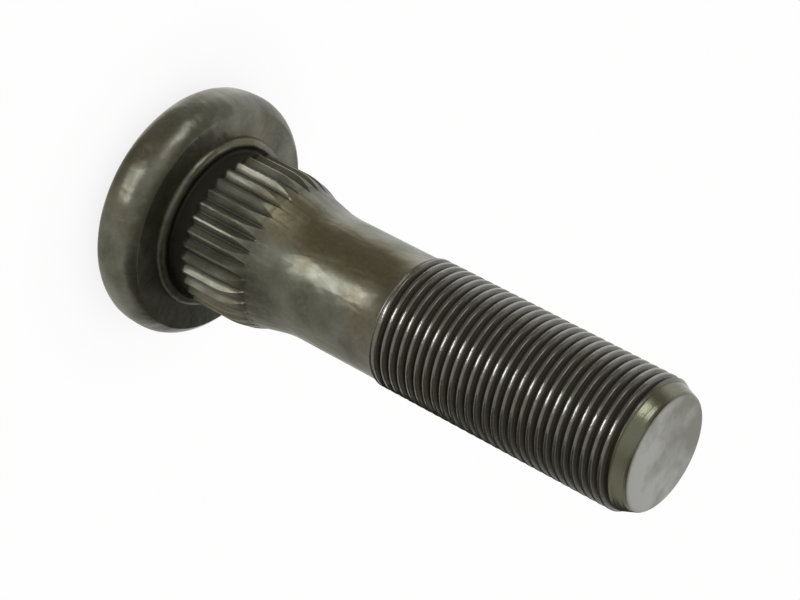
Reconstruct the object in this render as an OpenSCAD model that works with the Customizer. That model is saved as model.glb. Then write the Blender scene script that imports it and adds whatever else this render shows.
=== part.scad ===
// Wheel bolt for a hub flange: one forged and rolled piece with a round head,
// a raised bead under the head, a ribbed press-in seat, a necked shank and a long fine thread.
// The bolt stands on its head. +Z runs along its axis from the head to the tip, and the origin
// is the centre of the flat bearing face under the head.
// The thread is drawn as its plain major cylinder, without the helical groove.

/* [Bolt] */
// Length from the bearing face to the tip
bolt_len = 81; // [78:0.5:110]

/* [Head] */
// Diameter of the head at its widest belt
head_d = 38.2; // [36:0.2:42]
// Thickness of the head below the bearing face
head_h = 8.8; // [8:0.2:12]
// Depth of the widest belt below the bearing face
belly_depth = 3.4; // [2.8:0.2:4]
// Radius of the barrel-shaped rim, seen in section
rim_r = 20; // [16:1:26]
// Radius of the shoulder between rim and bearing face
seat_corner_r = 4; // [3.4:0.2:4.4]
// Height by which the bearing face cuts the top off that shoulder
seat_cut = 0.7; // [0.5:0.1:1]
// Radius that breaks the edge between shoulder and bearing face
seat_edge_r = 0.3; // [0.2:0.1:0.5]
// Radius of the corner between rim and back face
back_corner_r = 4.2; // [3.6:0.2:4.6]

/* [Bead] */
// Radius of the raised bead that rings the ribs, seen in section
bead_r = 0.95; // [0.7:0.05:1.2]
// Distance of the bead's crest outside the rib tops
bead_offset = 0.45; // [0.3:0.05:0.7]

/* [Ribs] */
// Diameter over the rib tops
rib_d = 24.1; // [23:0.1:26]
// Number of ribs
rib_count = 34; // [28:1:38]
// Depth of the grooves between the ribs
rib_depth = 0.7; // [0.5:0.05:1]
// Width of the flat on top of each rib
rib_flat = 0.5; // [0.3:0.05:0.7]
// Width of the flat floor of each groove
groove_floor = 0.25; // [0.1:0.05:0.4]
// Height of the rib foot above the bearing face
rib_start = 3.2; // [2.4:0.1:4]
// Length of the ribs at their full height, foot rounding included
rib_len = 6.4; // [5:0.1:12]
// Radius of the rounded foot of each rib
rib_foot_r = 0.6; // [0.3:0.1:0.8]
// Length over which the ribs fall to the neck
rib_fall = 5.4; // [4:0.1:6.5]
// Depth of the stem below the groove floors, between bead and ribs
relief = 0.2; // [0.1:0.05:0.4]

/* [Neck and shank] */
// Diameter of the plain shank
shank_d = 19.2; // [18:0.1:20]
// Length of the neck cone from the end of the ribs to the line of the shank
neck_len = 5.3; // [4:0.1:7]
// Slope of the neck cone
neck_angle = 12.4; // [9:0.2:15]
// Radius that blends the neck cone into the shank
neck_blend_r = 16; // [6:1:24]

/* [Thread] */
// Major diameter of the thread
thread_d = 20; // [19.5:0.5:24]
// Length of the thread at its full diameter
thread_len = 40.3; // [30:0.1:42]
// Length of the run-out between shank and thread
thread_runout = 0.9; // [0.5:0.1:2]

/* [Tip] */
// Diameter of the tip cone where it meets the end face
tip_d = 17.3; // [16:0.1:18.5]
// Diameter of the tip cone where it meets the thread
tip_root_d = 19.2; // [18.8:0.1:19.4]
// Length of the tip cone
tip_len = 2.5; // [1.5:0.1:4]
// Length of the first thread's lead, from the tip cone to full diameter
tip_lead = 0.5; // [0.3:0.1:1]
// Radius of the edge of the end face
tip_edge_r = 0.7; // [0.3:0.1:1]

/* [Hidden] */
$fn = 180;
arc_step = 7.5;
steel = [0.27, 0.27, 0.235];

head_r = head_d / 2;
shank_r = shank_d / 2;
thread_r = thread_d / 2;
rib_r = rib_d / 2;
groove_r = rib_r - rib_depth;
stem_r = groove_r - relief;

// Rim and corners of the head: both corner arcs touch the rim's arc from inside, and the small
// edge arc touches the shoulder and the bearing face.
rim_x = head_r - rim_r;
seat_corner_z = seat_cut - seat_corner_r;
seat_corner_x = rim_x + reach(rim_r - seat_corner_r, belly_depth + seat_corner_z);
seat_edge_x = seat_corner_x + reach(seat_corner_r - seat_edge_r, seat_corner_z + seat_edge_r);
back_corner_z = back_corner_r - head_h;
back_corner_x = rim_x + reach(rim_r - back_corner_r, belly_depth + back_corner_z);
seat_corner_a = atan2(belly_depth + seat_corner_z, seat_corner_x - rim_x);
seat_edge_a = atan2(-seat_edge_r - seat_corner_z, seat_edge_x - seat_corner_x);
back_corner_a = atan2(belly_depth + back_corner_z, back_corner_x - rim_x);

// Bead on the bearing face, and the hollow that leads from it to the stem. The two arcs touch.
bead_x = rib_r + bead_offset;
bead_gap = bead_x - stem_r;
hollow_r = bead_gap / 2 - bead_r / 4;
hollow_x = stem_r + hollow_r;
hollow_z = reach(bead_r + hollow_r, bead_x - hollow_x);
bead_a = atan2(hollow_z, hollow_x - bead_x);

// Ribs: full height, then a falling arc that meets the neck cone.
rib_top_z = rib_start + rib_len;
rib_end_z = rib_top_z + rib_fall;
rib_end_r = min(groove_r, shank_r + neck_len * tan(neck_angle));
rib_drop = rib_r - rib_end_r;
rib_fall_r = (rib_fall * rib_fall + rib_drop * rib_drop) / (2 * rib_drop);

// Grooves between the ribs: straight flanks, cut past the rib tops by groove_over.
groove_over = 0.5;
groove_mouth = 2 * PI * rib_r / rib_count - rib_flat;
groove_slope = (groove_mouth - groove_floor) / rib_depth;
groove_top = groove_floor + groove_slope * (rib_depth + groove_over);
groove_z = (hollow_z + rib_start) / 2;

// Neck cone and its blend into the shank.
neck_z = rib_end_z + neck_len;
neck_slope = atan2(rib_end_r - shank_r, neck_len);
neck_blend = min(neck_blend_r, 0.9 * neck_len / tan(neck_slope / 2));
blend_z = neck_z + neck_blend * tan(neck_slope / 2);

// Thread, counted back from the tip.
tip_z = bolt_len - tip_len;
thread_top_z = tip_z - tip_lead;
thread_z = thread_top_z - thread_len;
tip_slope = atan2(tip_root_d - tip_d, 2 * tip_len);
tip_edge = tip_edge_r * tan((90 - tip_slope) / 2);

// Other side of a right triangle
function reach(long_side, side) = sqrt(long_side * long_side - side * side);

// Points along an arc of the section, between two angles
function arc(x, z, r, from, to) =
    let (steps = max(2, ceil(abs(to - from) / arc_step)))
    [for (i = [0 : steps])
        let (a = from + (to - from) * i / steps)
        [x + r * cos(a), z + r * sin(a)]];

function head_section() = concat(
    [[0, -head_h]],
    arc(back_corner_x, back_corner_z, back_corner_r, -90, back_corner_a),
    arc(rim_x, -belly_depth, rim_r, back_corner_a, seat_corner_a),
    arc(seat_corner_x, seat_corner_z, seat_corner_r, seat_corner_a, seat_edge_a),
    arc(seat_edge_x, -seat_edge_r, seat_edge_r, seat_edge_a, 90)
);

function bead_section() = concat(
    arc(bead_x, 0, bead_r, 0, bead_a),
    arc(hollow_x, hollow_z, hollow_r, bead_a + 180, 180)
);

function rib_section() = concat(
    [[stem_r, rib_start]],
    arc(rib_r - rib_foot_r, rib_start + rib_foot_r, rib_foot_r, -90, 0),
    arc(rib_r - rib_fall_r, rib_top_z, rib_fall_r, 0, asin(rib_fall / rib_fall_r))
);

function neck_section() =
    arc(shank_r + neck_blend, blend_z, neck_blend, 180 + neck_slope, 180);

function thread_section() = [
    [shank_r, thread_z - thread_runout],
    [thread_r, thread_z],
    [thread_r, thread_top_z],
    [tip_root_d / 2, tip_z]
];

function tip_section() = concat(
    arc(tip_d / 2 - tip_edge, bolt_len - tip_edge_r, tip_edge_r, tip_slope, 90),
    [[0, bolt_len]]
);

// The turned and forged blank, with the rib seat still plain
module blank() {
    rotate_extrude()
        polygon(concat(
            head_section(),
            bead_section(),
            rib_section(),
            neck_section(),
            thread_section(),
            tip_section()
        ));
}

// One groove between two ribs, on the +X side
module groove() {
    translate([0, 0, groove_z])
        linear_extrude(height = rib_end_z - groove_z)
            polygon([
                [groove_r, -groove_floor / 2],
                [rib_r + groove_over, -groove_top / 2],
                [rib_r + groove_over, groove_top / 2],
                [groove_r, groove_floor / 2]
            ]);
}

module wheel_bolt() {
    color(steel)
        difference() {
            blank();
            for (i = [0 : rib_count - 1])
                rotate([0, 0, i * 360 / rib_count])
                    groove();
        }
}

wheel_bolt();
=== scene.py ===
"""Wheel bolt: forged head, ribbed press seat and rolled thread, dressed in phosphated steel."""

import math

import bpy
from bpy.props import (
    FloatProperty,
    FloatVectorProperty,
    IntProperty,
    PointerProperty,
)
from mathutils import Matrix, Vector


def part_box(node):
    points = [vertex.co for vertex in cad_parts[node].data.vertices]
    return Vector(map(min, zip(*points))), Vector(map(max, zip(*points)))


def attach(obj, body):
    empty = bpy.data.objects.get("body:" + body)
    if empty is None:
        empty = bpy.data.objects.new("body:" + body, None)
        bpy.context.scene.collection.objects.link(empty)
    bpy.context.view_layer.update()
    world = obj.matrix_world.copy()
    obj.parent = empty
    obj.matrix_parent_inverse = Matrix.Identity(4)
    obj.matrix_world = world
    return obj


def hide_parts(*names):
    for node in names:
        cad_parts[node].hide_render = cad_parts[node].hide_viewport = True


bl_info = {
    "name": "Wheel Bolt",
    "version": (1, 0, 0),
    "blender": (4, 5, 0),
    "location": "View3D > Sidebar > Wheel Bolt",
    "description": "Builds a press-in wheel bolt with a ribbed seat and a fine rolled thread",
    "category": "Object",
}

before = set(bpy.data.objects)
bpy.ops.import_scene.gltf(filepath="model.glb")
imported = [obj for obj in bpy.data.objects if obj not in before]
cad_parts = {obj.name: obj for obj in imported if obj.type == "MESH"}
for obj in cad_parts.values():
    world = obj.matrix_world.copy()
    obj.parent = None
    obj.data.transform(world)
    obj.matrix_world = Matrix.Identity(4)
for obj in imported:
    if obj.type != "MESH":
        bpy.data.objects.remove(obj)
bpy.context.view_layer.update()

MM = 0.001
BOLT_NODE = "wheel_bolt"
BOLT_LOW, BOLT_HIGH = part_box(BOLT_NODE)
HEAD_R = BOLT_HIGH[0]
BACK_Z = BOLT_LOW[2]
TIP_Z = BOLT_HIGH[2]

# Each rib takes eight columns of vertices, and the thread has as many as all ribs together.
RIB_COLUMNS = 8
# Vertices closer than this are one.
WELD = 0.002 * MM
# Edges that turn by more than this stay sharp.
SHARP_ANGLE = math.radians(28)


def length(name, description, value):
    """A size of the bolt, given in millimetres"""
    return FloatProperty(
        name=name, description=description, default=value * MM, unit="LENGTH", precision=5)


def colour(name, description, value):
    """A colour of the finish or the floor"""
    return FloatVectorProperty(
        name=name, description=description, default=value, subtype="COLOR", size=3,
        min=0.0, max=1.0)


class BoltHeadSizes(bpy.types.PropertyGroup):
    """Sizes of the head and of the bead under it"""
    belly_depth: length("Belt depth", "Depth of the widest belt below the bearing face", 3.4)
    rim_r: length("Rim radius", "Radius of the barrel-shaped rim, seen in section", 20)
    seat_corner_r: length("Shoulder", "Shoulder between rim and bearing face", 4)
    seat_cut: length("Shoulder cut", "Height that the bearing face cuts off the shoulder", 0.7)
    seat_edge_r: length("Seat edge", "Edge between shoulder and bearing face", 0.3)
    back_corner_r: length("Back corner", "Corner between rim and back face", 4.2)
    bead_r: length("Bead radius", "Radius of the raised bead, seen in section", 0.95)
    bead_offset: length("Bead offset", "Distance of the bead's crest outside the ribs", 0.45)


class BoltSeatSizes(bpy.types.PropertyGroup):
    """Sizes of the ribbed seat, the neck and the plain shank"""
    rib_d: length("Diameter over ribs", "Diameter over the rib tops", 24.1)
    rib_count: IntProperty(name="Ribs", description="Number of ribs", default=34, min=12)
    rib_depth: length("Rib depth", "Depth of the grooves between the ribs", 0.85)
    rib_flat: length("Rib flat", "Width of the flat on top of each rib", 0.3)
    groove_floor: length("Groove floor", "Width of the floor of each groove", 0.15)
    groove_sink: length("Groove sink", "Depth by which the floors sink over the rib fall", 0.38)
    rib_start: length("Rib foot", "Height of the rib foot above the bearing face", 3.2)
    rib_len: length("Rib length", "Length of the ribs at their full height", 6.4)
    rib_foot_r: length("Foot radius", "Radius of the rounded foot of each rib", 0.6)
    rib_fall: length("Rib fall", "Length over which the ribs fall to the neck", 5.4)
    relief: length("Relief", "Depth of the stem below the groove floors", 0.05)
    shank_d: length("Shank diameter", "Diameter of the plain shank", 19.2)
    neck_len: length("Neck length", "Length of the neck cone", 5.3)
    neck_angle: FloatProperty(
        name="Neck slope", description="Slope of the neck cone", default=math.radians(12.4),
        subtype="ANGLE")
    neck_blend_r: length("Neck blend", "Radius that blends the neck into the shank", 16)


class BoltThreadSizes(bpy.types.PropertyGroup):
    """Sizes of the thread and the tip"""
    thread_d: length("Major diameter", "Major diameter of the thread", 20)
    pitch: length("Pitch", "Distance from one crest to the next", 1.5)
    depth: length("Thread depth", "Depth of the thread's groove", 0.85)
    first_crest: length("First crest", "Distance of the first crest from the tip, on +X", 3.84)
    thread_len: length("Thread length", "Length of the thread at its full diameter", 40.3)
    runout: length("Run-out", "Length of the step between shank and thread", 0.9)
    tip_d: length("Tip diameter", "Diameter of the tip cone at the end face", 17.3)
    tip_root_d: length("Cone root", "Diameter of the tip cone at the thread", 19.2)
    tip_len: length("Tip length", "Length of the tip cone", 2.5)
    tip_lead: length("Thread lead", "Length from the tip cone to the full thread", 0.5)
    tip_edge_r: length("Tip edge", "Radius of the edge of the end face", 0.7)


class BoltFinish(bpy.types.PropertyGroup):
    """Colours of the phosphated and oiled steel, and of the shade painted on it"""
    coat: colour("Coating", "Olive-grey phosphate coating", (0.147, 0.150, 0.124))
    dark: colour("Dark coating", "Thick, dark patches of the coating", (0.085, 0.086, 0.064))
    brown: colour("Brown tint", "Brown film of old oil", (0.115, 0.090, 0.045))
    # Painted shade: an olive-brown tint laid on one side of the neck and shank.
    side_shade: colour("Stain", "Olive-brown stain on one side of the shank", (0.135, 0.114, 0.060))
    # A pale colour over the end face, growing paler towards one side.
    end_pale: colour("Bare steel", "Rubbed part of the end face", (0.45, 0.46, 0.45))
    olive: colour("Olive tint", "Coating on the tip cone and end face", (0.145, 0.148, 0.108))
    rolled: colour("Rolled steel", "Thin grey coating on the thread", (0.115, 0.108, 0.102))
    worn: colour("Worn steel", "Bare grains and worn thread crests", (0.27, 0.27, 0.25))
    # This colour is painted shade: it darkens the hollow, the grooves and the thread's roots.
    recess_shade: colour("Grime", "Dirt in the hollow, grooves and roots", (0.022, 0.021, 0.015))


class BoltStage(bpy.types.PropertyGroup):
    """The pale floor under the bolt"""
    floor_colour: colour("Floor", "Colour of the pale floor", (0.9, 0.9, 0.9))
    floor_width: FloatProperty(
        name="Floor width", description="Width of the square floor", default=6.0, unit="LENGTH")


def clear_selection():
    """Leaves edit mode and deselects all objects"""
    if bpy.context.mode != "OBJECT":
        bpy.ops.object.mode_set(mode="OBJECT")
    bpy.ops.object.select_all(action="DESELECT")


def only(piece):
    """Selects one piece and makes it the active one"""
    clear_selection()
    piece.select_set(True)
    bpy.context.view_layer.objects.active = piece


def weld(piece):
    """Merges the doubles of a piece"""
    only(piece)
    bpy.ops.object.mode_set(mode="EDIT")
    bpy.ops.mesh.select_all(action="SELECT")
    bpy.ops.mesh.remove_doubles(threshold=WELD)
    bpy.ops.object.mode_set(mode="OBJECT")


def turn_round(piece, angle, steps, copies=False):
    """Spins all of a piece about the bolt's axis, anticlockwise seen from the tip"""
    only(piece)
    bpy.ops.object.mode_set(mode="EDIT")
    bpy.ops.mesh.select_all(action="SELECT")
    bpy.ops.mesh.spin(
        steps=steps, angle=-angle, dupli=copies, center=(0, 0, 0), axis=(0, 0, 1))
    bpy.ops.object.mode_set(mode="OBJECT")
    weld(piece)


def reach(long_side, side):
    """Other side of a right triangle"""
    return math.sqrt(long_side * long_side - side * side)


def smooth_step(value):
    """0 up to 0, 1 from 1, and a soft change between them"""
    value = min(max(value, 0.0), 1.0)
    return value * value * (3 - 2 * value)


class Pen:
    """Draws a section in the XZ plane as a chain of vertices, with edit mode's own tools"""

    def __init__(self, name, x, z):
        """Starts a piece with one vertex, which is selected for the first extrusion"""
        clear_selection()
        bpy.ops.mesh.primitive_plane_add(size=MM, location=(x, 0, z))
        self.piece = bpy.context.object
        self.piece.name = name
        self.piece.data.name = name
        bpy.ops.object.transform_apply(location=True, rotation=False, scale=False)
        bpy.ops.object.mode_set(mode="EDIT")
        bpy.ops.mesh.select_all(action="SELECT")
        bpy.ops.mesh.merge(type="CENTER")
        self.x = x
        self.z = z

    def line_to(self, x, z, steps=1):
        """Goes on straight to a point, in equal steps"""
        move = ((x - self.x) / steps, 0, (z - self.z) / steps)
        for _ in range(steps):
            bpy.ops.mesh.extrude_region_move(TRANSFORM_OT_translate={"value": move})
        self.x = x
        self.z = z

    def arc(self, centre_x, centre_z, start, end, steps):
        """Goes on about a centre, between two angles from +X towards +Z, in straight steps"""
        bpy.ops.mesh.spin(
            steps=steps, angle=end - start, center=(centre_x, 0, centre_z), axis=(0, 1, 0))
        radius = math.hypot(self.x - centre_x, self.z - centre_z)
        self.x = centre_x + radius * math.cos(end)
        self.z = centre_z + radius * math.sin(end)

    def close(self):
        """Leaves edit mode and gives back the drawn piece"""
        bpy.ops.object.mode_set(mode="OBJECT")
        return self.piece


def draw_head(head, seat):
    """From the middle of the back face, round the rim and over the bead to the stem"""
    rim_x = HEAD_R - head.rim_r
    seat_z = head.seat_cut - head.seat_corner_r
    seat_x = rim_x + reach(head.rim_r - head.seat_corner_r, head.belly_depth + seat_z)
    edge_x = seat_x + reach(head.seat_corner_r - head.seat_edge_r, seat_z + head.seat_edge_r)
    corner_z = BACK_Z + head.back_corner_r
    corner_x = rim_x + reach(head.rim_r - head.back_corner_r, head.belly_depth + corner_z)
    seat_a = math.atan2(head.belly_depth + seat_z, seat_x - rim_x)
    edge_a = math.atan2(-head.seat_edge_r - seat_z, edge_x - seat_x)
    back_a = math.atan2(head.belly_depth + corner_z, corner_x - rim_x)

    stem_r = seat.rib_d / 2 - seat.rib_depth - seat.relief
    bead_x = seat.rib_d / 2 + head.bead_offset
    hollow_r = (bead_x - stem_r) / 2 - head.bead_r / 4
    hollow_x = stem_r + hollow_r
    hollow_z = reach(head.bead_r + hollow_r, bead_x - hollow_x)
    bead_a = math.atan2(hollow_z, hollow_x - bead_x)

    pen = Pen("bolt_steel", 0, BACK_Z)
    pen.line_to(corner_x, BACK_Z, steps=3)
    pen.arc(corner_x, corner_z, -math.pi / 2, back_a, steps=7)
    pen.arc(rim_x, -head.belly_depth, back_a, seat_a, steps=4)
    pen.arc(seat_x, seat_z, seat_a, edge_a, steps=8)
    pen.arc(edge_x, -head.seat_edge_r, edge_a, math.pi / 2, steps=3)
    pen.line_to(bead_x + head.bead_r, 0)
    pen.arc(bead_x, 0, 0, bead_a, steps=10)
    pen.arc(hollow_x, hollow_z, bead_a + math.pi, math.pi, steps=8)
    return pen


# Most of the neck cone's length that its blend into the shank may take.
LONGEST_BLEND = 0.9


def draw_seat(pen, seat):
    """The stem, the ribs' foot, full height and fall, then the neck down to the shank"""
    rib_r = seat.rib_d / 2
    shank_r = seat.shank_d / 2
    groove_r = rib_r - seat.rib_depth
    top_z = seat.rib_start + seat.rib_len
    end_z = top_z + seat.rib_fall
    end_r = min(groove_r, shank_r + seat.neck_len * math.tan(seat.neck_angle))
    drop = rib_r - end_r
    fall_r = (seat.rib_fall ** 2 + drop ** 2) / (2 * drop)
    slope = math.atan2(end_r - shank_r, seat.neck_len)
    blend = min(seat.neck_blend_r, LONGEST_BLEND * seat.neck_len / math.tan(slope / 2))
    blend_z = end_z + seat.neck_len + blend * math.tan(slope / 2)

    foot_r = seat.rib_foot_r
    pen.line_to(groove_r - seat.relief, seat.rib_start)
    pen.line_to(rib_r - foot_r, seat.rib_start, steps=2)
    pen.arc(rib_r - foot_r, seat.rib_start + foot_r, -math.pi / 2, 0, steps=6)
    pen.line_to(rib_r, top_z, steps=2)
    pen.arc(rib_r - fall_r, top_z, 0, math.asin(seat.rib_fall / fall_r), steps=18)
    pen.line_to(shank_r + blend * (1 - math.cos(slope)), blend_z - blend * math.sin(slope))
    pen.arc(shank_r + blend, blend_z, math.pi + slope, math.pi, steps=8)


# Least width of a groove's flank where the rib runs out, as a share of the rib pitch.
LEAST_FLANK = 0.02
# Vertices this little below the rib foot still belong to it.
SLACK = 0.01 * MM


def shape_rib(sector, seat):
    """Sinks half a groove on each side of the rib in a sector that is one rib wide"""
    pitch_angle = 2 * math.pi / seat.rib_count
    rib_r = seat.rib_d / 2
    groove_r = rib_r - seat.rib_depth
    floor = seat.groove_floor / 2 / groove_r / pitch_angle
    edge = 0.5 - seat.rib_flat / 2 / rib_r / pitch_angle
    top_z = seat.rib_start + seat.rib_len
    end_z = top_z + seat.rib_fall
    for vertex in sector.data.vertices:
        x, y, z = vertex.co
        radius = math.hypot(x, y)
        floor_r = groove_r - seat.groove_sink * max(z - top_z, 0) / seat.rib_fall
        if not seat.rib_start - SLACK < z < end_z or radius < floor_r:
            continue
        column = round(math.atan2(y, x) / pitch_angle * RIB_COLUMNS)
        share = min((radius - floor_r) / seat.rib_depth, 1.0)
        side = floor + max((edge - floor) * share, LEAST_FLANK)
        # Where the columns go, as shares of the sector: to both ends of half a groove floor, to
        # the edge of the rib, and on to its middle. The other half is mirrored.
        places = [0, floor, side, (side + 0.5) / 2, 0.5]
        place = places[column] if column < len(places) else 1 - places[RIB_COLUMNS - column]
        if min(column, RIB_COLUMNS - column) <= 1:
            radius = floor_r
        angle = place * pitch_angle
        vertex.co = (radius * math.cos(angle), radius * math.sin(angle), z)


def cone_radius(thread, z):
    """Radius of the tip cone at a height"""
    grow = (thread.tip_root_d - thread.tip_d) / 2 / thread.tip_len
    return thread.tip_d / 2 + grow * (TIP_Z - z)


def draw_tip(thread, z):
    """The tip cone from a height upwards, and the rounded edge of the end face"""
    cone_z = TIP_Z - thread.tip_len
    slope = math.atan2(thread.tip_root_d - thread.tip_d, 2 * thread.tip_len)
    edge = thread.tip_edge_r * math.tan((math.pi / 2 - slope) / 2)
    edge_x = thread.tip_d / 2 - edge
    edge_z = TIP_Z - thread.tip_edge_r
    pen = Pen("tip", cone_radius(thread, z), z)
    pen.line_to(edge_x + thread.tip_edge_r * math.cos(slope),
                edge_z + thread.tip_edge_r * math.sin(slope))
    pen.arc(edge_x, edge_z, slope, math.pi / 2, steps=7)
    pen.line_to(0, TIP_Z, steps=4)
    return pen.close()


# The thread's profile across a crest and down to the next: shares of the pitch and the depth.
CREST_TO_CREST = (
    (-0.11, 0), (0.11, 0), (0.16, 0.03), (0.20, 0.12), (0.41, 0.95), (0.59, 0.95), (0.80, 0.12),
    (0.84, 0.03), (0.89, 0))
# Lengths over which the thread's depth fades in from the shank and out on the tip cone.
FADE_IN = 0.4 * MM
FADE_OUT = 0.7 * MM
# Share of the tip cone, from the end face, that the thread's mesh leaves free.
FREE_CONE = 0.8


def draw_thread(thread, low_z, high_z, columns):
    """One tooth's profile, swept along the helix and trimmed between two heights"""
    major_r = thread.thread_d / 2
    pitch = thread.pitch
    crest_z = TIP_Z - thread.first_crest
    start_z = crest_z - pitch * math.ceil((crest_z - low_z) / pitch + 1)
    turns = math.ceil((high_z - start_z) / pitch) + 1
    pen = Pen("thread", major_r, start_z + CREST_TO_CREST[0][0] * pitch)
    for place, share in CREST_TO_CREST[1:]:
        pen.line_to(major_r - share * thread.depth, start_z + place * pitch)
    piece = pen.close()

    only(piece)
    helix = piece.modifiers.new("helix", "SCREW")
    helix.axis = "Z"
    helix.angle = 2 * math.pi
    helix.screw_offset = pitch
    helix.iterations = turns
    helix.steps = columns
    helix.render_steps = columns
    bpy.ops.object.modifier_apply(modifier=helix.name)

    full_z = TIP_Z - thread.tip_len - thread.tip_lead
    lead = (major_r - thread.tip_root_d / 2) / thread.tip_lead
    for vertex in piece.data.vertices:
        x, y, z = vertex.co
        radius = math.hypot(x, y)
        angle = math.atan2(y, x)
        z = min(max(z, low_z), high_z)
        depth = major_r - radius
        depth *= smooth_step((z - low_z) / FADE_IN)
        depth *= smooth_step((high_z - z) / FADE_OUT)
        skin = min(major_r, major_r - lead * (z - full_z))
        skin = max(skin, cone_radius(thread, z)) if z > full_z else skin
        radius = min(skin, major_r - depth)
        vertex.co = (radius * math.cos(angle), radius * math.sin(angle), z)
    weld(piece)
    return piece


def new_material(name):
    """An empty node material"""
    material = bpy.data.materials.new(name)
    material.use_nodes = True
    material.node_tree.nodes.clear()
    return material


def add_node(tree, kind, **values):
    """A node with its settings, and its sockets' values by name"""
    node = tree.nodes.new(kind)
    for name, value in values.items():
        socket = node.inputs.get(name.replace("_", " ").title())
        if hasattr(node, name):
            setattr(node, name, value)
        elif socket is not None:
            socket.default_value = value
        else:
            raise KeyError(f"{kind} has no {name}")
    return node


def noise(tree, place, scale, detail, roughness, distortion=0.0):
    """Noise over a place, about 0.5 in the middle"""
    node = add_node(tree, "ShaderNodeTexNoise", scale=scale, detail=detail,
                    roughness=roughness, distortion=distortion)
    tree.links.new(place, node.inputs["Vector"])
    return node.outputs["Fac"]


def grey(value):
    """A neutral colour"""
    return (value, value, value)


def ramp(tree, value, stops):
    """A grey ramp over a value, from places and brightnesses"""
    node = tree.nodes.new("ShaderNodeValToRGB")
    elements = node.color_ramp.elements
    while len(elements) < len(stops):
        elements.new(1.0)
    for element, (place, brightness) in zip(elements, stops):
        element.position = place
        element.color = (*grey(brightness), 1.0)
    tree.links.new(value, node.inputs["Fac"])
    return node.outputs["Color"]


def mix_colour(tree, factor, first, second, blend="MIX"):
    """The second colour laid over the first, as far as the factor says"""
    node = tree.nodes.new("ShaderNodeMix")
    node.data_type = "RGBA"
    node.blend_type = blend
    # A Mix node has sockets for each type of data. These are the ones for colours.
    for value, socket in ((factor, node.inputs[0]), (first, node.inputs[6]),
                          (second, node.inputs[7])):
        if isinstance(value, (int, float)):
            socket.default_value = value
        elif isinstance(value, bpy.types.NodeSocket):
            tree.links.new(value, socket)
        else:
            socket.default_value = (*value, 1.0)
    return node.outputs[2]


def calculate(tree, operation, *values):
    """A Math node over sockets and numbers"""
    node = add_node(tree, "ShaderNodeMath", operation=operation)
    for value, socket in zip(values, node.inputs):
        if isinstance(value, bpy.types.NodeSocket):
            tree.links.new(value, socket)
        else:
            socket.default_value = value
    return node.outputs[0]


def times(tree, first, second):
    """Product of two sockets or numbers"""
    return calculate(tree, "MULTIPLY", first, second)


def fade(tree, value, start, end):
    """0 up to one value and 1 from the other, with a soft change between them"""
    node = add_node(tree, "ShaderNodeMapRange", interpolation_type="SMOOTHSTEP")
    tree.links.new(value, node.inputs["Value"])
    node.inputs["From Min"].default_value = start
    node.inputs["From Max"].default_value = end
    return node.outputs["Result"]


def zone(tree, value, low, high, soft):
    """1 between two values and 0 outside them, with a soft change on both sides"""
    return times(tree, fade(tree, value, low - soft, low), fade(tree, value, high + soft, high))


def dot_product(tree, vector, direction):
    """How far a vector reaches in a fixed direction"""
    node = add_node(tree, "ShaderNodeVectorMath", operation="DOT_PRODUCT")
    tree.links.new(vector, node.inputs[0])
    node.inputs[1].default_value = direction
    return node.outputs["Value"]


def stretched(tree, place, scale):
    """A place scaled along each axis, to draw a pattern out along or round the bolt"""
    node = add_node(tree, "ShaderNodeMapping", vector_type="POINT")
    node.inputs["Scale"].default_value = scale
    tree.links.new(place, node.inputs["Vector"])
    return node.outputs["Vector"]


def bump(tree, height, distance, strength=1.0, under=None):
    """Normals raised by a height, over those of the layer under it"""
    node = add_node(tree, "ShaderNodeBump", strength=strength, distance=distance)
    tree.links.new(height, node.inputs["Height"])
    if under is not None:
        tree.links.new(under, node.inputs["Normal"])
    return node.outputs["Normal"]


def show(tree, shader, kind="ShaderNodeOutputMaterial"):
    """Sends a shader to the output of its tree"""
    output = tree.nodes.new(kind)
    tree.links.new(shader, output.inputs["Surface"])


def aim(direction):
    """Unit vector from an azimuth about the bolt's axis and an elevation, in degrees"""
    azimuth, elevation = (math.radians(value) for value in direction)
    return Vector((math.cos(elevation) * math.cos(azimuth),
                   math.cos(elevation) * math.sin(azimuth), math.sin(elevation)))


# Azimuth and elevation of the middle of the painted brown shade on one side of the shank, in
# degrees, and how well a spot must face it to get a little and all of that shade, as cosines.
SHADE_SIDE = (-33, 0)
SHADE_EDGE = (0.84, 0.97)
# Side of the end face that is paler, and how fast it gets paler that way, per metre.
PALE_SIDE = (20, 0)
PALE_GROWTH = 18
# Depths in the thread, as shares of its full depth, between which crests and roots fade in.
CREST_EDGE = (0.2, 0.05)
ROOT_EDGE = (0.25, 0.8)


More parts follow.
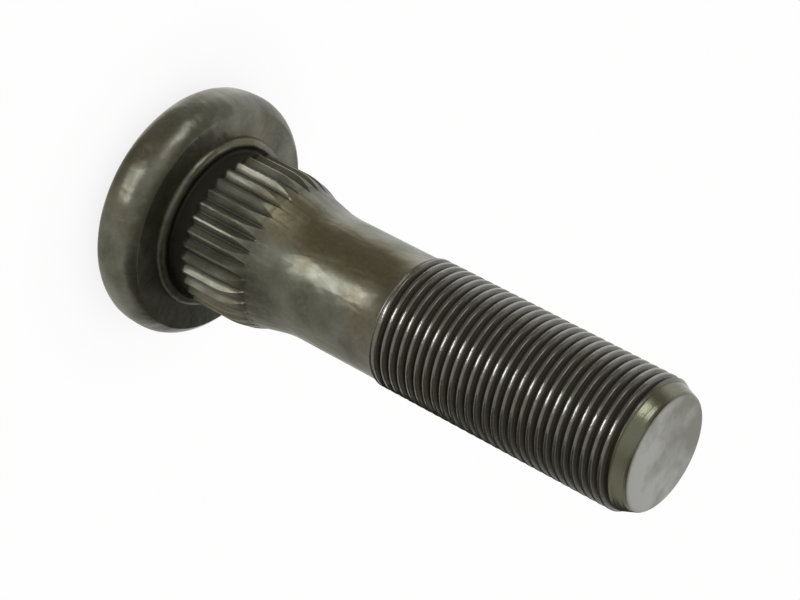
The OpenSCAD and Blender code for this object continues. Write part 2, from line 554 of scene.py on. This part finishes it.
class SteelZones:
    """Masks of the bolt's zones, by height and by distance from the axis

    The millimetres added here say how far a finish reaches past the edge of a shape, and how
    softly it ends there. No size of the bolt sets them.
    """

    def __init__(self, tree, place, seat, thread):
        parts = tree.nodes.new("ShaderNodeSeparateXYZ")
        tree.links.new(place, parts.inputs[0])
        height = parts.outputs["Z"]
        across = add_node(tree, "ShaderNodeVectorMath", operation="MULTIPLY")
        tree.links.new(place, across.inputs[0])
        across.inputs[1].default_value = (1, 1, 0)
        distance = add_node(tree, "ShaderNodeVectorMath", operation="LENGTH")
        tree.links.new(across.outputs[0], distance.inputs[0])
        toward = add_node(tree, "ShaderNodeVectorMath", operation="NORMALIZE")
        tree.links.new(across.outputs[0], toward.inputs[0])
        facing = dot_product(tree, toward.outputs[0], aim(SHADE_SIDE))

        low = TIP_Z - thread.tip_len - thread.tip_lead - thread.thread_len
        rib_end = seat.rib_start + seat.rib_len + seat.rib_fall
        # Painted brown shade on one side of the neck and shank.
        self.side_shade = times(
            tree, zone(tree, height, rib_end, low - 2 * MM, soft=3 * MM),
            fade(tree, facing, *SHADE_EDGE))
        self.mark_seat(tree, height, distance.outputs["Value"], seat)
        self.mark_thread(tree, height, distance.outputs["Value"], thread, low)

    def mark_seat(self, tree, height, radius, seat):
        """The hollow between bead and ribs, all the ribs, and the grooves between them"""
        rib_r = seat.rib_d / 2
        groove_r = rib_r - seat.rib_depth
        rib_top = seat.rib_start + seat.rib_len
        rib_end = rib_top + seat.rib_fall
        self.hollow = times(
            tree, zone(tree, height, 0.1 * MM, seat.rib_start + 0.4 * MM, soft=0.5 * MM),
            zone(tree, radius, groove_r - MM, rib_r + 0.1 * MM, soft=0.3 * MM))
        self.ribs = zone(tree, height, seat.rib_start + 0.3 * MM, rib_end - MM, soft=MM)

        # The distance from the axis, as if the groove floors didn't sink where the ribs fall.
        past_top = calculate(tree, "SUBTRACT", height, rib_top)
        sunk = times(tree, calculate(tree, "MAXIMUM", past_top, 0.0),
                     seat.groove_sink / seat.rib_fall)
        level = calculate(tree, "ADD", radius, sunk)
        self.grooves = times(
            tree, zone(tree, height, seat.rib_start, rib_end - MM, soft=0.5 * MM),
            fade(tree, level, groove_r + 0.5 * MM, groove_r))

    def mark_thread(self, tree, height, radius, thread, low):
        """The threaded end, its rolled turns with their crests and roots, and the tip"""
        cone_z = TIP_Z - thread.tip_len
        self.thread = fade(tree, height, low - 0.3 * MM, low + 0.2 * MM)
        self.rolled = zone(tree, height, low, cone_z, soft=0.3 * MM)
        self.cone = zone(tree, height, cone_z, TIP_Z - 0.6 * MM, soft=0.2 * MM)
        self.end_face = fade(tree, height, TIP_Z - 0.25 * MM, TIP_Z - 0.05 * MM)
        major_r = thread.thread_d / 2
        crests = fade(tree, radius, *(major_r - share * thread.depth for share in CREST_EDGE))
        roots = fade(tree, radius, *(major_r - share * thread.depth for share in ROOT_EDGE))
        self.crests = times(tree, self.rolled, crests)
        self.roots = times(tree, self.rolled, roots)


# Patterns in the finish: noise scale per metre, detail, roughness and distortion.
BLOTCHES = (150, 2, 0.5)
PATCHES = (60, 2, 0.5, 0.4)
GRAINS = (1500, 3, 0.6)
DIMPLES = (330, 2, 0.5, 0.3)
NICKS = (800, 2, 0.5)
TURNING = (2400, 2, 0.5)
SMEARS = (140, 3, 0.6)
# Scales by axis that draw the dimples out along the bolt, and the turning marks out round it.
ALONG = (1, 1, 0.4)
AROUND = (0.08, 0.08, 1)
# How the patterns show: places in the noise, and how far a colour covers the coating there.
BLOTCH_COVER = ((0.35, 0), (0.62, 1))
PATCH_COVER = ((0.50, 0), (0.66, 0.6))
GRAIN_COVER = ((0.45, 0), (0.8, 0.2))
SMEAR_COVER = ((0.36, 0.4), (0.60, 1))
# How far each colour covers the coating in its zone.
# The side shade is painted shade on one side of the neck and shank.
SIDE_SHADE_COVER = 0.55
ROLLED_COVER = 0.8
CREST_WEAR = 0.3
# The grooves, the thread's roots and the hollow get painted shade.
GROOVE_SHADE = 0.5
ROOT_SHADE = 0.95
HOLLOW_SHADE = 0.9
# Roughness of the coating, by places in the blotches' noise, and of the zones that differ.
COAT_ROUGHNESS = ((0.3, 0.42), (0.7, 0.32))
THREAD_ROUGHNESS = 0.24
RIB_ROUGHNESS = 0.38
END_ROUGHNESS = 0.6
# Roughness of the hollow, grooves and roots, which carry the painted shade.
RECESS_ROUGHNESS = 0.62
# Heights of the marks in the surface, and how strongly the grains show.
GRAIN_HEIGHT = 0.03 * MM
DENT_HEIGHT = 0.3 * MM
PIT_HEIGHT = 0.2 * MM
ROLL_HEIGHT = 0.06 * MM
GRAIN_STRENGTH = 0.5
# How metallic the coated steel looks.
METALLIC = 0.8


def coat_colour(tree, place, zones, finish, blotches, grains):
    """Mottled coating, worn steel, a paler end face, and painted shade on one side and in recesses
    """
    patches = noise(tree, place, *PATCHES)
    smear = calculate(tree, "ADD", noise(tree, place, *SMEARS),
                      dot_product(tree, place, PALE_GROWTH * aim(PALE_SIDE)))
    smear = ramp(tree, smear, SMEAR_COVER)
    layers = (
        (ramp(tree, patches, PATCH_COVER), finish.brown),
        # Painted brown shade over one side of the neck and shank.
        (times(tree, zones.side_shade, SIDE_SHADE_COVER), finish.side_shade),
        (ramp(tree, grains, GRAIN_COVER), finish.worn),
        (times(tree, zones.rolled, ROLLED_COVER), finish.rolled),
        (times(tree, zones.crests, CREST_WEAR), finish.worn),
        (calculate(tree, "MAXIMUM", zones.cone, zones.end_face), finish.olive),
        # The end face grows paler towards one side.
        (times(tree, zones.end_face, smear), finish.end_pale),
        # Painted shade in the grooves, the thread's roots and the hollow.
        (times(tree, zones.grooves, GROOVE_SHADE), finish.recess_shade),
        (times(tree, zones.roots, ROOT_SHADE), finish.recess_shade),
        (times(tree, zones.hollow, HOLLOW_SHADE), finish.recess_shade),
    )
    coat = mix_colour(tree, ramp(tree, blotches, BLOTCH_COVER), finish.dark, finish.coat)
    for cover, shade in layers:
        coat = mix_colour(tree, cover, coat, shade)
    return coat


def coat_roughness(tree, zones, blotches):
    """Patchy gloss of the oiled coating, and a duller hollow, grooves and roots"""
    rough = ramp(tree, blotches, COAT_ROUGHNESS)
    # The hollow, grooves and roots, which carry the painted shade, are duller.
    recesses = calculate(tree, "MAXIMUM", zones.grooves, zones.hollow)
    recesses = calculate(tree, "MAXIMUM", recesses, zones.roots)
    for cover, value in ((zones.thread, THREAD_ROUGHNESS), (zones.ribs, RIB_ROUGHNESS),
                         (zones.end_face, END_ROUGHNESS), (recesses, RECESS_ROUGHNESS)):
        rough = mix_colour(tree, cover, rough, grey(value))
    return rough


def coat_normal(tree, place, zones, blotches, grains):
    """Grains and uneven forging, and the marks of rolling and turning on the threaded end"""
    forged = calculate(tree, "SUBTRACT", 1.0, zones.thread)
    dimples = noise(tree, stretched(tree, place, ALONG), *DIMPLES)
    turned = noise(tree, stretched(tree, place, AROUND), *TURNING)
    marks = calculate(tree, "ADD", times(tree, noise(tree, place, *NICKS), zones.rolled),
                      times(tree, turned, zones.cone))
    normal = bump(tree, grains, GRAIN_HEIGHT, strength=GRAIN_STRENGTH)
    normal = bump(tree, times(tree, blotches, forged), DENT_HEIGHT, under=normal)
    normal = bump(tree, times(tree, dimples, forged), PIT_HEIGHT, under=normal)
    return bump(tree, marks, ROLL_HEIGHT, under=normal)


def steel_material(finish, seat, thread):
    """Oily phosphate coating: mottled colour and gloss over a slightly uneven forging"""
    material = new_material("phosphated_steel")
    tree = material.node_tree
    place = tree.nodes.new("ShaderNodeTexCoord").outputs["Object"]
    zones = SteelZones(tree, place, seat, thread)
    blotches = noise(tree, place, *BLOTCHES)
    grains = noise(tree, place, *GRAINS)

    shader = add_node(tree, "ShaderNodeBsdfPrincipled", metallic=METALLIC)
    tree.links.new(coat_colour(tree, place, zones, finish, blotches, grains),
                   shader.inputs["Base Color"])
    tree.links.new(coat_roughness(tree, zones, blotches), shader.inputs["Roughness"])
    tree.links.new(coat_normal(tree, place, zones, blotches, grains), shader.inputs["Normal"])
    show(tree, shader.outputs["BSDF"])
    return material


class WHEELBOLT_OT_bolt(bpy.types.Operator):
    """Models the bolt as one piece and dresses it in phosphated steel"""
    bl_idname = "wheelbolt.bolt"
    bl_label = "Build bolt"

    def execute(self, context):
        scene = context.scene
        seat = scene.bolt_seat
        thread = scene.bolt_thread
        columns = RIB_COLUMNS * seat.rib_count
        high_z = TIP_Z - FREE_CONE * thread.tip_len
        low_z = TIP_Z - thread.tip_len - thread.tip_lead - thread.thread_len

        pen = draw_head(scene.bolt_head, seat)
        draw_seat(pen, seat)
        pen.line_to(seat.shank_d / 2, low_z - thread.runout, steps=4)
        pen.line_to(thread.thread_d / 2, low_z)
        bolt = pen.close()
        turn_round(bolt, 2 * math.pi / seat.rib_count, RIB_COLUMNS)
        shape_rib(bolt, seat)
        turn_round(bolt, 2 * math.pi * (1 - 1 / seat.rib_count), seat.rib_count - 1, copies=True)

        tip = draw_tip(thread, high_z)
        turn_round(tip, 2 * math.pi, columns)
        helix = draw_thread(thread, low_z, high_z, columns)
        only(bolt)
        tip.select_set(True)
        helix.select_set(True)
        bpy.ops.object.join()
        weld(bolt)
        bpy.ops.object.mode_set(mode="EDIT")
        bpy.ops.mesh.select_all(action="SELECT")
        bpy.ops.mesh.normals_make_consistent(inside=False)
        bpy.ops.object.mode_set(mode="OBJECT")
        bpy.ops.object.shade_smooth_by_angle(angle=SHARP_ANGLE)
        soften_thread(bolt, low_z, high_z)

        bolt.data.materials.clear()
        bolt.data.materials.append(steel_material(scene.bolt_finish, seat, thread))
        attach(bolt, "root")
        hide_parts(BOLT_NODE)
        return {"FINISHED"}


def soften_thread(bolt, low_z, high_z):
    """Rolled crests and roots shade as rounded, with no hard edges"""
    vertices = bolt.data.vertices
    for edge in bolt.data.edges:
        heights = [vertices[i].co.z for i in edge.vertices]
        if min(heights) > low_z + WELD and max(heights) < high_z - WELD:
            edge.use_edge_sharp = False


# Bright parts of the studio, as azimuth and elevation, inner and outer half angle, strength:
# the key light, a side light, and soft light from the front, from one side and from behind.
STUDIO_LIGHTS = (
    ((4, -30), 2, 12, 14.0),
    ((-50, 10), 4, 17, 4.5),
    ((-5, 18), 10, 50, 0.6),
    ((85, -25), 25, 75, 0.6),
    ((-145, -20), 20, 60, 1.4),
)
# The white backdrop behind the bolt, in the same terms.
BACKDROP = ((200, 10), 30, 75, 1.0)
# Light from everywhere else, a little warm.
STUDIO_DARK = (0.205, 0.18, 0.12)
# Share of white that the floor shows by itself, over the light that falls on it.
FLOOR_GLOW = 0.98
# The bolt's contact shadow on the floor: its brightness, its reach and its samples.
SHADOW_SHADE = 0.86
SHADOW_REACH = 14 * MM
SHADOW_SAMPLES = 16
# The dark card that only reflections show: its corners seen from above and its lowest and
# highest edge, in millimetres, and its colour.
CARD_CORNERS = ((-42, 6), (-42, 62), (45, 62))
CARD_HEIGHTS = (10, 75)
CARD_COLOUR = (0.02, 0.02, 0.015)


class WHEELBOLT_OT_stage(bpy.types.Operator):
    """Lays the pale floor, paints the studio's light on the world and places the camera"""
    bl_idname = "wheelbolt.stage"
    bl_label = "Build stage"

    def execute(self, context):
        stage = context.scene.bolt_stage
        lay_floor(stage)
        set_card()
        paint_world(context.scene)
        place_camera(context.scene)
        context.scene.view_settings.view_transform = "Standard"
        return {"FINISHED"}


def lay_floor(stage):
    """A pale floor under the head, which the studio's mirrored light passes"""
    clear_selection()
    bpy.ops.mesh.primitive_plane_add(size=stage.floor_width, location=(0, 0, BACK_Z))
    floor = bpy.context.object
    floor.name = "floor"
    bpy.ops.object.transform_apply(location=True, rotation=False, scale=False)
    material = new_material("pale_floor")
    tree = material.node_tree
    matt = tree.nodes.new("ShaderNodeBsdfDiffuse")
    matt.inputs["Color"].default_value = (*stage.floor_colour, 1.0)
    near = add_node(tree, "ShaderNodeAmbientOcclusion", samples=SHADOW_SAMPLES,
                    distance=SHADOW_REACH)
    glow = tree.nodes.new("ShaderNodeEmission")
    tree.links.new(mix_colour(tree, near.outputs["AO"], grey(SHADOW_SHADE), grey(1)),
                   glow.inputs["Color"])
    paths = tree.nodes.new("ShaderNodeLightPath").outputs
    seen = calculate(tree, "ADD", paths["Is Camera Ray"], paths["Is Glossy Ray"])
    seen = calculate(tree, "ADD", seen, paths["Is Transmission Ray"])
    blend = tree.nodes.new("ShaderNodeMixShader")
    tree.links.new(times(tree, seen, FLOOR_GLOW), blend.inputs["Fac"])
    tree.links.new(matt.outputs["BSDF"], blend.inputs[1])
    tree.links.new(glow.outputs["Emission"], blend.inputs[2])
    show(tree, blend.outputs["Shader"])
    floor.data.materials.append(material)
    floor.visible_glossy = False
    floor.visible_shadow = False


def set_card():
    """A folded dark card beside the bolt, which darkens what its lower side in the photo mirrors"""
    low, high = (height * MM for height in CARD_HEIGHTS)
    x, y = (value * MM for value in CARD_CORNERS[0])
    clear_selection()
    bpy.ops.mesh.primitive_plane_add(size=MM, location=(x, y, low))
    card = bpy.context.object
    card.name = "dark_card"
    bpy.ops.object.transform_apply(location=True, rotation=False, scale=False)
    bpy.ops.object.mode_set(mode="EDIT")
    bpy.ops.mesh.select_all(action="SELECT")
    bpy.ops.mesh.merge(type="CENTER")
    for next_x, next_y in CARD_CORNERS[1:]:
        move = (next_x * MM - x, next_y * MM - y, 0)
        bpy.ops.mesh.extrude_region_move(TRANSFORM_OT_translate={"value": move})
        x += move[0]
        y += move[1]
    bpy.ops.mesh.select_all(action="SELECT")
    bpy.ops.mesh.extrude_region_move(TRANSFORM_OT_translate={"value": (0, 0, high - low)})
    bpy.ops.object.mode_set(mode="OBJECT")
    material = new_material("dark_card")
    matt = material.node_tree.nodes.new("ShaderNodeBsdfDiffuse")
    matt.inputs["Color"].default_value = (*CARD_COLOUR, 1.0)
    show(material.node_tree, matt.outputs["BSDF"])
    card.data.materials.append(material)
    card.visible_camera = False
    card.visible_diffuse = False
    card.visible_transmission = False
    card.visible_shadow = False


def lobe(tree, direction, inner, outer, strength):
    """Strength of one soft light, by the angle between it and the ray"""
    where = tree.nodes.new("ShaderNodeTexCoord").outputs["Generated"]
    light = fade(tree, dot_product(tree, where, aim(direction)),
                 math.cos(math.radians(outer)), math.cos(math.radians(inner)))
    return times(tree, light, strength)


def paint_world(scene):
    """Soft lights and the white backdrop, which the camera sees all round"""
    world = bpy.data.worlds.new("studio")
    scene.world = world
    world.use_nodes = True
    tree = world.node_tree
    tree.nodes.clear()
    backdrop = lobe(tree, *BACKDROP)
    total = backdrop
    for light in STUDIO_LIGHTS:
        total = calculate(tree, "ADD", total, lobe(tree, *light))
    shade = mix_colour(tree, 1.0, total, STUDIO_DARK, blend="ADD")
    studio = tree.nodes.new("ShaderNodeBackground")
    tree.links.new(shade, studio.inputs["Color"])
    white = tree.nodes.new("ShaderNodeBackground")
    white.inputs["Color"].default_value = (1, 1, 1, 1)
    paths = tree.nodes.new("ShaderNodeLightPath").outputs
    mirrored = calculate(tree, "ADD", paths["Is Glossy Ray"], paths["Is Transmission Ray"])
    mirrored = times(tree, mirrored, backdrop)
    blend = tree.nodes.new("ShaderNodeMixShader")
    tree.links.new(calculate(tree, "MAXIMUM", paths["Is Camera Ray"], mirrored),
                   blend.inputs["Fac"])
    tree.links.new(studio.outputs["Background"], blend.inputs[1])
    tree.links.new(white.outputs["Background"], blend.inputs[2])
    show(tree, blend.outputs["Shader"], "ShaderNodeOutputWorld")


# The bolt's axis as the camera sees it, with x right, y up and z back, and the middle of the
# end face in the same axes.
AXIS_SEEN = Vector((0.76506, -0.39755, 0.50659))
TIP_SEEN = Vector((35.3598, -20.5643, -379.4249)) * MM
# Focal length and sensor width, in millimetres, and the nearest and farthest thing seen.
CAMERA_LENS = 128.21
SENSOR_WIDTH = 36
NEAREST = 0.01
FARTHEST = 50


def place_camera(scene):
    """The photograph's view of the bolt, whose +X side is the one turned to the camera"""
    axis = AXIS_SEEN.normalized()
    back = Vector((0, 0, 1))
    side = (back - back.dot(axis) * axis).normalized()
    across = axis.cross(side)
    turn = Matrix((side, across, axis))
    place = Vector((0, 0, TIP_Z)) - turn @ TIP_SEEN
    data = bpy.data.cameras.new("photo_view")
    data.lens = CAMERA_LENS
    data.sensor_width = SENSOR_WIDTH
    data.clip_start = NEAREST
    data.clip_end = FARTHEST
    camera = bpy.data.objects.new("photo_view", data)
    scene.collection.objects.link(camera)
    camera.matrix_world = Matrix.Translation(place) @ turn.to_4x4()
    scene.camera = camera


class WHEELBOLT_PT_panel(bpy.types.Panel):
    """Lists the steps that build the wheel bolt"""
    bl_idname = "WHEELBOLT_PT_panel"
    bl_label = "Wheel Bolt"
    bl_space_type = "VIEW_3D"
    bl_region_type = "UI"
    bl_category = "Wheel Bolt"

    def draw(self, context):
        for step in STEPS:
            self.layout.operator(step.bl_idname)


GROUPS = {
    "bolt_head": BoltHeadSizes,
    "bolt_seat": BoltSeatSizes,
    "bolt_thread": BoltThreadSizes,
    "bolt_finish": BoltFinish,
    "bolt_stage": BoltStage,
}
STEPS = (WHEELBOLT_OT_bolt, WHEELBOLT_OT_stage)


def register():
    """Registers the sizes, the steps and the panel"""
    for group in GROUPS.values():
        bpy.utils.register_class(group)
    for step in STEPS:
        bpy.utils.register_class(step)
    bpy.utils.register_class(WHEELBOLT_PT_panel)
    for name, group in GROUPS.items():
        setattr(bpy.types.Scene, name, PointerProperty(type=group))


def unregister():
    """Takes back all that register has added"""
    for name in GROUPS:
        delattr(bpy.types.Scene, name)
    bpy.utils.unregister_class(WHEELBOLT_PT_panel)
    for step in reversed(STEPS):
        bpy.utils.unregister_class(step)
    for group in reversed(GROUPS.values()):
        bpy.utils.unregister_class(group)


def main():
    """Builds the bolt and its stage"""
    register()
    bpy.ops.wheelbolt.bolt()
    bpy.ops.wheelbolt.stage()


if __name__ == "__main__":
    main()
